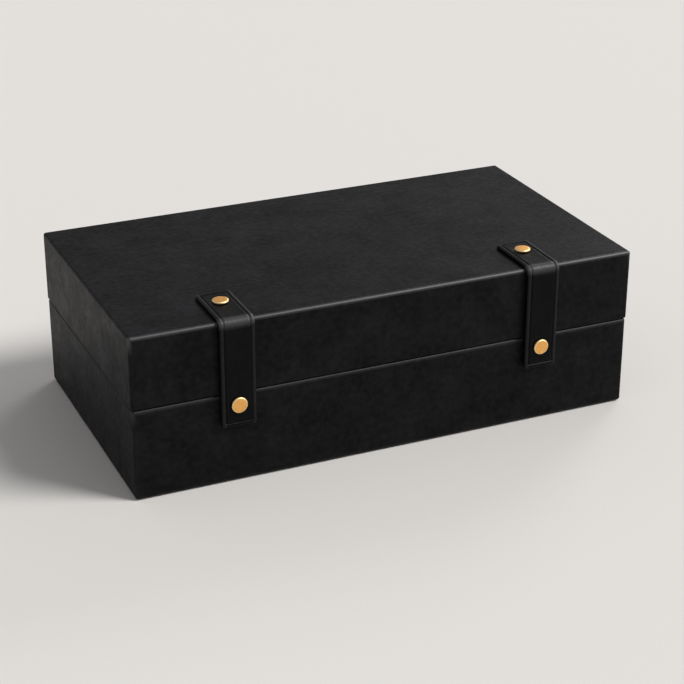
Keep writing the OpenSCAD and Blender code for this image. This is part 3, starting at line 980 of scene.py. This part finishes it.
def hinge_strip():
    low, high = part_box("hinge_leather")
    inner_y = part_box("lid_cover")[1].y - HINGE_BEDDED
    thick = high.y - inner_y
    height = high.z - low.z
    far = height / 2 - CREASE_NEAR
    steps = [far * i / HINGE_STEPS for i in range(HINGE_STEPS)]
    steps += [far + 2 * CREASE_NEAR * i / CREASE_STEPS for i in range(CREASE_STEPS)]
    steps += [height - far + far * i / HINGE_STEPS for i in range(HINGE_STEPS + 1)]
    bm = bmesh.new()
    flat_strap(bm, high.x - low.x, steps, thick, [])
    for v in bm.verts:
        x, s, h = v.co
        z = high.z - s
        groove = GROOVE_DEEP * math.exp(-((z - joint_z) / GROOVE_WIDE) ** 2)
        v.co = Vector((-x, inner_y + thick / 2 + h - groove * (h > 0), z))
    made = finish_mesh("hinge_leather_strip", bm, cover_leather)
    wear_and_highlight = []
    for v in made.data.vertices:
        from_end = min(v.co.z - low.z, high.z - v.co.z)
        wear_and_highlight.append(HINGE_BURNISH * max(0.0, 1 - from_end / CREASE_IN))
    store_values(made, "edge_wear_and_highlight", wear_and_highlight)
    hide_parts("hinge_leather")
    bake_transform(made)


def hinge_gusset():
    """The suede strip's two flaps, glued to base and lid, and the fold between them, which lies
    flat between the closed rims with a slit down its middle."""
    low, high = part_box("hinge_gusset")
    base_face, tip = low.y, high.y
    lid_face = base_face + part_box("lid_cover")[1].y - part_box("base_cover")[1].y
    thick, mid = GUSSET_THICK, joint_z
    slit = [
        (base_face + FLAP_CURVE_IN, mid - thick - FLAP_CURVE_OFF),
        (base_face + SLIT_START, mid - SLIT_HALF),
        (tip - SLIT_STOP, mid - SLIT_HALF),
    ]
    loop = [(base_face, low.z), (base_face, mid - FLAP_END)] + slit
    loop += [(tip - SLIT_TIP, mid)] + [(y, 2 * mid - z) for y, z in slit[::-1]]
    loop += [(lid_face, mid + FLAP_END), (lid_face, high.z)]
    loop += [(lid_face + thick, high.z), (lid_face + thick, mid + thick + FOLD_CUT)]
    loop += [(lid_face + thick + FOLD_CUT, mid + thick), (tip - FOLD_CUT, mid + thick)]
    loop += [(tip, mid + TIP_HALF), (tip, mid - TIP_HALF)]
    loop += [(tip - FOLD_CUT, mid - thick), (base_face + thick + FOLD_CUT, mid - thick)]
    loop += [(base_face + thick, mid - thick - FOLD_CUT), (base_face + thick, low.z)]
    bm = bmesh.new()
    rings = []
    for i in range(GUSSET_STEPS + 1):
        x = low.x + (high.x - low.x) * i / GUSSET_STEPS
        rings.append([bm.verts.new((x, y, z)) for y, z in loop])
    join_rings(bm, rings)
    close_ends(bm, rings)
    made = finish_mesh("hinge_gusset_suede", bm, suede)
    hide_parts("hinge_gusset")
    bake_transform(made)


hinge_strip()
hinge_gusset()


# The underside panel. Thin board wrapped in black wool felt is glued in over the turned-under
# leather, and the box stands on it.
FELT_CORNER = 0.0016
FELT_EDGE = 0.0006
FELT_FLAT = 0.006
WOOL_MM = 1.11


def pressed_felt():
    """Felt: matt black wool with a fuzzy, uneven face. Its fibres are finer than a pixel, and are
    drawn as clumps about a millimetre wide so that they show."""
    material, tree, out = new_material("black_wool_felt")
    coords = node(tree, "ShaderNodeTexCoord")
    wool = node(tree, "ShaderNodeTexNoise", {"Scale": 1000.0 / WOOL_MM, "Detail": 8.0, "Distortion": 1.2},
                {"Vector": coords.outputs["Object"]})
    tone = node(tree, "ShaderNodeValToRGB", None, {"Fac": wool.outputs["Fac"]})
    tone.color_ramp.elements[0].color = linear("#151515")
    tone.color_ramp.elements[1].color = linear("#2e2d2c")
    bump = node(tree, "ShaderNodeBump", {"Strength": 0.6, "Distance": 0.0004},
                {"Height": wool.outputs["Fac"]})
    body = node(tree, "ShaderNodeBsdfPrincipled",
                {"Roughness": 1.0, "Specular IOR Level": 0.1, "Sheen Weight": 0.2},
                {"Base Color": tone.outputs["Color"], "Normal": bump.outputs["Normal"]})
    tree.links.new(body.outputs[0], out.inputs["Surface"])
    return material


def underside(felt):
    low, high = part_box("underside_panel")
    path = rolled_edge(FELT_EDGE, high.z - FELT_EDGE, FELT_EDGE, 90, 0, PANEL_STEPS)
    path += rolled_edge(FELT_EDGE, low.z + FELT_EDGE, FELT_EDGE, 0, -90, PANEL_STEPS)
    path += [(FELT_FLAT, low.z)]
    bm = bmesh.new()
    rings = lay_rings(bm, (high - low) / 2, FELT_CORNER, path)
    join_rings(bm, rings)
    close_ends(bm, rings)
    made = finish_mesh("underside_felt", bm, felt)
    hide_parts("underside_panel")
    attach(made, "base")


underside(pressed_felt())
